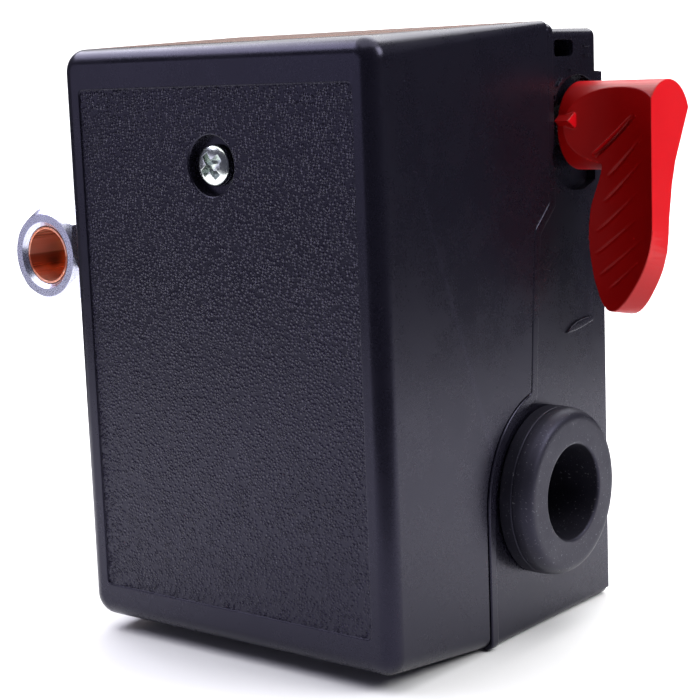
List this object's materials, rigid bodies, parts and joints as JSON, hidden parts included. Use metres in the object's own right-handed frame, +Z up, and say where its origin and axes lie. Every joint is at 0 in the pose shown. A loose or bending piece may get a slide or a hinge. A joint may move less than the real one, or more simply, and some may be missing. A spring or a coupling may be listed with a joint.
{
  "type": "pressure switch",
  "caption": "Air compressor pressure switch: black box with a textured front, red on/off lever, cable grommets, pressure port at the back and an unloader valve with a tube nut.",
  "frame": {"origin": "centre of the flat face at the bottom of the base, which the part stands on", "axes": "+X towards the lever side, -Y towards the front of the cover, +Y along the pressure port's axis out of its mouth, +Z up"},
  "size_m": [0.1131, 0.0935, 0.108],
  "materials": {
    "black_plastic": "semi-gloss moulded plastic, pebble grain on the front panel",
    "black_rubber": "satin moulded rubber",
    "red_plastic": "satin moulded plastic",
    "brown_phenolic": "moulded phenolic",
    "white_nylon": "natural nylon",
    "zinc_plate": "bright zinc plate",
    "steel": "ground steel",
    "spring_steel": "drawn wire",
    "die_cast": "as cast",
    "brass": "machined",
    "copper": "bright copper"
  },
  "bodies": {
    "base": {"base_housing": "black_plastic", "cable_grommet_right": "black_rubber", "cable_grommet_left": "black_rubber", "port_flange": "die_cast", "flange_screw_1": "zinc_plate", "flange_screw_2": "zinc_plate", "flange_screw_3": "zinc_plate", "flange_screw_4": "zinc_plate", "diaphragm": "black_rubber", "frame_plate": "zinc_plate", "pivot_pin": "steel", "range_spring": "spring_steel", "range_stud": "zinc_plate", "differential_spring": "spring_steel", "differential_stud": "zinc_plate", "terminal_block": "brown_phenolic", "terminal_upper_left": "brass", "terminal_upper_right": "brass", "terminal_lower_left": "brass", "terminal_lower_right": "brass", "terminal_screw_upper_left": "zinc_plate", "terminal_screw_upper_right": "zinc_plate", "terminal_screw_lower_left": "zinc_plate", "terminal_screw_lower_right": "zinc_plate", "cover_post": "zinc_plate", "post_screw": "zinc_plate", "block_screw_left": "zinc_plate", "block_screw_right": "zinc_plate", "ground_screw_left": "zinc_plate", "ground_screw_right": "zinc_plate", "unloader_body": "brass", "unloader_nut": "zinc_plate", "unloader_sleeve": "copper", "unloader_locknut": "zinc_plate", "unloader_spring": "spring_steel"},
    "cover": {"front_cover": "black_plastic", "cover_screw": "zinc_plate"},
    "lever": {"lever_knob": "red_plastic", "lever_camshaft": "white_nylon"},
    "rocker": {"rocker_plate": "zinc_plate"},
    "plunger": {"plunger": "white_nylon"},
    "contact_carrier": {"contact_carrier": "white_nylon", "moving_contact_left": "copper", "moving_contact_right": "copper"},
    "unloader_pin": {"unloader_pin": "steel"},
    "range_adjuster": {"range_seat": "zinc_plate", "range_nut": "zinc_plate"},
    "differential_adjuster": {"differential_nut": "zinc_plate"}
  },
  "joints": [
    {"name": "cover_off", "type": "slide", "parent": "base", "child": "cover", "axis": [0, -1, 0], "range_m": [0, 0.075]},
    {"name": "lever_turn", "type": "hinge", "parent": "base", "child": "lever", "pos_m": [0.0355, 0.0105, 0.0894], "axis": [-1, 0, 0], "range_deg": [0, 60]},
    {"name": "rocker_tilt", "type": "hinge", "parent": "base", "child": "rocker", "pos_m": [0, 0.0071, 0.026], "axis": [1, 0, 0], "range_deg": [0, 3.12], "stiffness_Nm_per_rad": 1, "springref_deg": -2.86, "deforming": ["range_spring", "differential_spring"]},
    {"name": "plunger_stroke", "type": "slide", "parent": "base", "child": "plunger", "axis": [0, -1, 0], "range_m": [0, 0.00125]},
    {"name": "contact_travel", "type": "slide", "parent": "base", "child": "contact_carrier", "axis": [0, -1, 0], "range_m": [0, 0.0025]},
    {"name": "unloader_travel", "type": "slide", "parent": "base", "child": "unloader_pin", "axis": [-1, 0, 0], "range_m": [0, 0.0016], "deforming": ["unloader_spring"]},
    {"name": "range_adjust", "type": "slide", "parent": "base", "child": "range_adjuster", "axis": [0, 1, 0], "range_m": [0, 0.004], "deforming": ["range_spring"]},
    {"name": "differential_adjust", "type": "slide", "parent": "base", "child": "differential_adjuster", "axis": [0, 1, 0], "range_m": [0, 0.003], "deforming": ["differential_spring"]}
  ],
  "couplings": [
    {"joint": "plunger_stroke", "follows": "rocker_tilt", "m_per_rad": 0.022},
    {"joint": "contact_travel", "follows": "rocker_tilt", "m_per_rad": 0.044},
    {"joint": "unloader_travel", "follows": "rocker_tilt", "m_per_rad": 0.0275}
  ]
}
